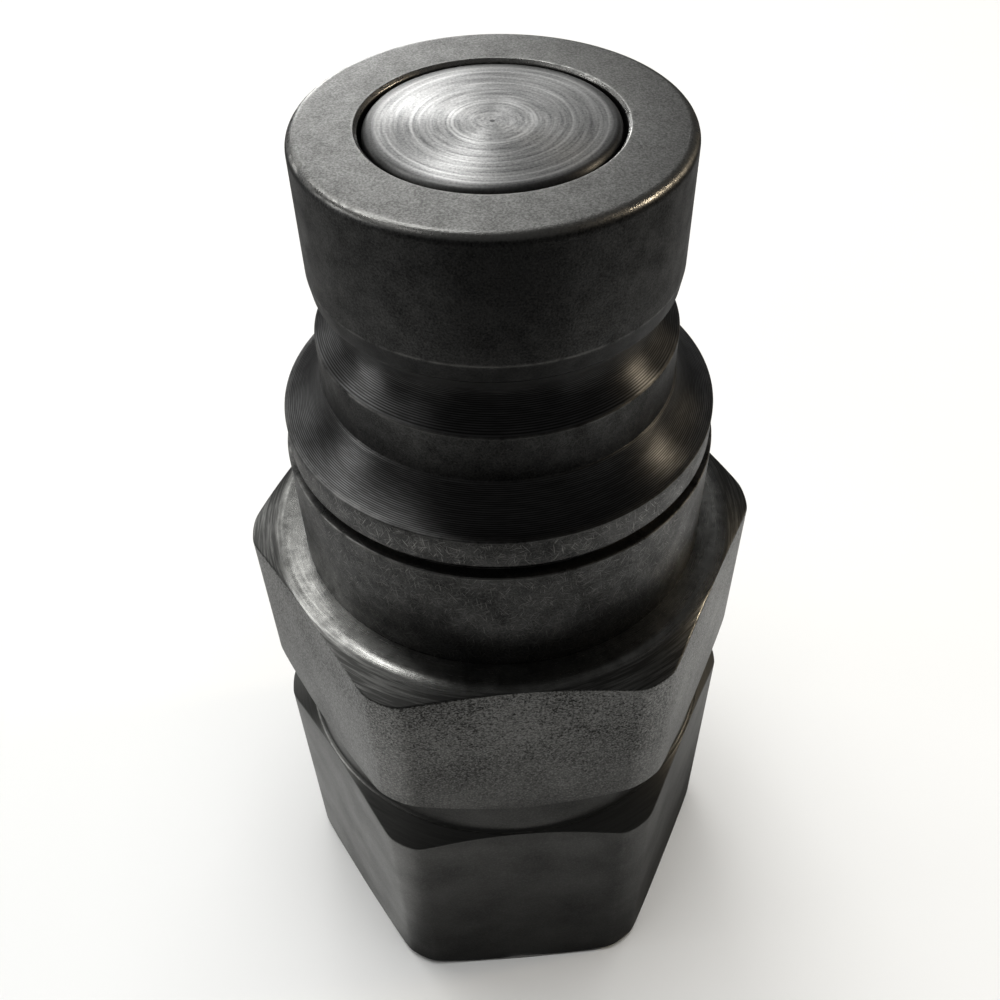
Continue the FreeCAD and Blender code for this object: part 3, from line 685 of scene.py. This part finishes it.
# Poppet spring
# Wound from round wire between the stem's flange and the valve guide, with one closed turn at each
# end and both ends ground flat.
wire_radius, coil_radius = 0.8, 7.4
spring_bottom, spring_top = 34.7, 71.347
closed_pitch, closed_turns, active_turns = 1.62, 1, 7
turn_steps, wire_steps = 64, 14
spring_length = spring_top - spring_bottom
all_turns = 2 * closed_turns + active_turns
turns = np.linspace(0, all_turns, turn_steps * all_turns + 1)
rise = np.interp(turns, [0, closed_turns, closed_turns + active_turns, all_turns], [
    0, closed_pitch * closed_turns, spring_length - closed_pitch * closed_turns, spring_length])
turn = (2 * math.pi * turns)[:, None]
round_wire = np.linspace(0, 2 * math.pi, wire_steps + 1)[None, :-1]
from_axis = coil_radius + wire_radius * np.cos(round_wire)
wire_height = np.clip(
    spring_bottom + rise[:, None] + wire_radius * np.sin(round_wire), spring_bottom, spring_top)
spring = solid("wound_spring", np.stack([
    from_axis * np.cos(turn), from_axis * np.sin(turn), wire_height], -1),
    rod(len(turns), wire_steps))

# Oil-tempered wire has a cloudy blue-grey oxide skin
skin_spacing = 1.5
spring_finish, tree, shader, place = new_finish("oil_tempered_spring_wire", {"Metallic": 1.0})
oxide = add(tree, "TexNoise", {"Scale": 1 / skin_spacing, "Detail": 5.0}, {"Vector": place})["Fac"]
plain_looks(tree, shader, oxide, ("#4b4d50", "#77797c"), oxide, (0.28, 0.5), 0.15)
give(spring, spring_finish)
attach(spring, "plug_body")
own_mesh(spring)
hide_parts("poppet_spring")

# Valve guide
# A windowed disc with a boss that guides the stem. The screwed body clamps it in the adapter, and
# the shape of the CAD guide is kept.
guide_feed, guide_film_width = 0.2, 2.5
guide_finish, tree, shader, place = new_finish("machined_guide_steel", {"Metallic": 1.0})
film = add(tree, "TexNoise", {"Scale": 1 / guide_film_width, "Detail": 4.0}, {
    "Vector": place})["Fac"]
plain_looks(tree, shader, film, ("#7c7a76", "#a3a29e"), lathe_lines(tree, place, guide_feed, 2.0),
            (0.3, 0.48), 0.3, spread=(0.3, 0.7))
give(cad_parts["valve_guide"], guide_finish)

# Joint rings
# The rubber O-ring and the stiff ring above it seal the screwed joint, in the groove of the body's
# tail. They are hidden inside and wear the same two materials as the poppet's seal.
give(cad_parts["joint_o_ring"], rubber_finish)
give(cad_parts["joint_backup_ring"], ptfe_finish)

# Floor, lights and camera
# A plain pale floor under soft lamps behind the plug and to its sides. A card round the foot, which
# only the gloss of the metal shows, carries painted shade: the plug's shadow close to its foot in
# front and on its right, and a dark pool further in front, graded to white beside the plug.
floor_half = 2000
floor = solid("floor", [
    (-floor_half, -floor_half, 0), (floor_half, -floor_half, 0), (floor_half, floor_half, 0),
    (-floor_half, floor_half, 0)], [(0, 1, 2, 3)], smooth=False)
floor_finish, tree, shader, place = new_finish("matt_white_paint", {"Roughness": 0.9})
mottle = add(tree, "TexNoise", {"Scale": 0.02}, {"Vector": place})["Fac"]
wire(tree, shader, {"Base Color": add(tree, "Mix", {
    "data_type": "RGBA", 6: linear("#eeeeec"), 7: linear("#f1f1ef")}, {0: mottle})[2]})
give(floor, floor_finish)

card_inner, card_outer, card_lift, card_sides = 18.1, 1500, 0.4, 72
card_turn = 2 * math.pi / card_sides * np.arange(card_sides)
card = solid("painted_shade_card", [
    np.stack([r * np.cos(card_turn), r * np.sin(card_turn), np.full(card_sides, card_lift)], -1)
    for r in (card_outer, card_inner)], net(2, card_sides, rows_close=False), smooth=False)
card_finish, tree, shader, place = new_finish("painted_shade_card", {"Roughness": 0.9})
outward, radius, height = round_axis(tree, place)
speckle = add(tree, "TexNoise", {"Scale": 0.1}, {"Vector": place})["Fac"]
ways = add(tree, "SeparateXYZ", {}, {0: outward})
in_front = add(tree, "MapRange", {"From Min": -0.72, "From Max": -0.84}, {"Value": ways["Y"]})[0]
to_right = add(tree, "MapRange", {"From Min": 0.2, "From Max": 0.7}, {"Value": ways["X"]})[0]
# Painted shade in the card's colour: dark next to the plug in front and on its right, where its
# shadow falls, and dark far off.
far_away = [(76, 0.3), (160, 0.3), (300, 0.02), (card_outer, 0.02)]
front_shade = by_stops(tree, radius, [
    (0, 0.1), (28, 0.12), (38, 0.3), (48, 0.85), (56, 0.6), (66, 0.42), (74, 0.2), (80, 0.12),
    (95, 0.03), (card_outer, 0.02)])
left_shade = by_stops(tree, radius, [(0, 1), (24, 1), (34, 0.78), (60, 0.75), *far_away])
right_shade = by_stops(tree, radius, [(0, 0.15), (26, 0.15), (42, 0.9), (60, 1), *far_away])
shade = add(tree, "Mix", {"data_type": "FLOAT"}, {0: to_right, 2: left_shade, 3: right_shade})[0]
shade = add(tree, "Mix", {"data_type": "FLOAT"}, {0: in_front, 2: shade, 3: front_shade})[0]
shade = add(tree, "Math", {"operation": "MULTIPLY_ADD", 1: 0.01}, {0: speckle, 2: shade})[0]
wire(tree, shader, {"Base Color": add(tree, "Mix", {
    "data_type": "RGBA", 6: linear("#101010"), 7: linear("#f1f1ef")}, {0: shade})[2]})
give(card, card_finish)
card.visible_camera = card.visible_diffuse = card.visible_shadow = False

lamp_target, lamp_distance = Vector((0, 0, 0.04)), 1.05
window_light = "#ffeccf"


def lamp(name, turn, rise, size, power, colour="#ffffff", in_gloss=True):
    """Soft square lamp aimed at the plug.

    It is turned clockwise from straight behind the plug and raised from the floor, in degrees.
    """
    data = bpy.data.lights.new(name, "AREA")
    data.size = size
    data.energy = power
    data.color = linear(colour)[:3]
    made = bpy.data.objects.new(name, data)
    turn, rise = math.radians(turn), math.radians(rise)
    direction = Vector((
        math.sin(turn) * math.cos(rise), math.cos(turn) * math.cos(rise), math.sin(rise)))
    made.location = lamp_target + lamp_distance * direction
    made.rotation_mode = "QUATERNION"
    made.rotation_quaternion = direction.to_track_quat("Z", "Y")
    made.visible_glossy = in_gloss
    bpy.context.scene.collection.objects.link(made)


lamp("lamp_low", -12, 4, 0.2, 0.93)
lamp("lamp_back", -8, 12, 0.35, 1.15)
lamp("lamp_back_left", -50, 12, 0.35, 0.4)
lamp("lamp_back_high", 2, 33, 0.35, 0.42)
lamp("lamp_high", -34, 33, 0.35, 0.4)
lamp("lamp_top_back", -12, 56, 0.25, 0.75)
lamp("lamp_top_left", -35, 66, 0.2, 0.85)
lamp("lamp_high_left", -60, 50, 0.35, 1.1)
lamp("lamp_left", -90, 12, 0.35, 1.23)
lamp("lamp_front_left", -108, 50, 0.35, 0.21)
lamp("lamp_right", 86, 27, 0.12, 1.4, window_light)
lamp("lamp_right_back", 65, 12, 0.35, 0.24, window_light)
lamp("lamp_overhead", 0, 86, 0.8, 10.6, in_gloss=False)
world = bpy.data.worlds.new("room")
world.use_nodes = True
world.node_tree.nodes["Background"].inputs["Color"].default_value = linear("#ffffff")
world.node_tree.nodes["Background"].inputs["Strength"].default_value = 0.05
bpy.context.scene.world = world
bpy.context.scene.view_settings.view_transform = "Standard"

# The camera stands where the plug's round edges and corners show as in the photo: close above its
# front, in metres, looking down by about 46 degrees (angles in radians)
camera_place = (-0.00381, -0.06084, 0.11162)
yaw, pitch, roll = 0.0612, 0.8096, 0.0241
forward = Vector((
    math.sin(yaw) * math.cos(pitch), math.cos(yaw) * math.cos(pitch), -math.sin(pitch)))
level_right = Vector((math.cos(yaw), -math.sin(yaw), 0))
level_down = forward.cross(level_right)
right = math.cos(roll) * level_right + math.sin(roll) * level_down
up = math.sin(roll) * level_right - math.cos(roll) * level_down
camera_data = bpy.data.cameras.new("camera")
camera_data.sensor_width = 36
camera_data.lens = 39.73
camera_data.clip_start = 0.005
camera = bpy.data.objects.new("camera", camera_data)
camera.matrix_world = Matrix.Translation(camera_place) @ Matrix(
    (right, up, -forward)).transposed().to_4x4()
bpy.context.scene.collection.objects.link(camera)
bpy.context.scene.camera = camera
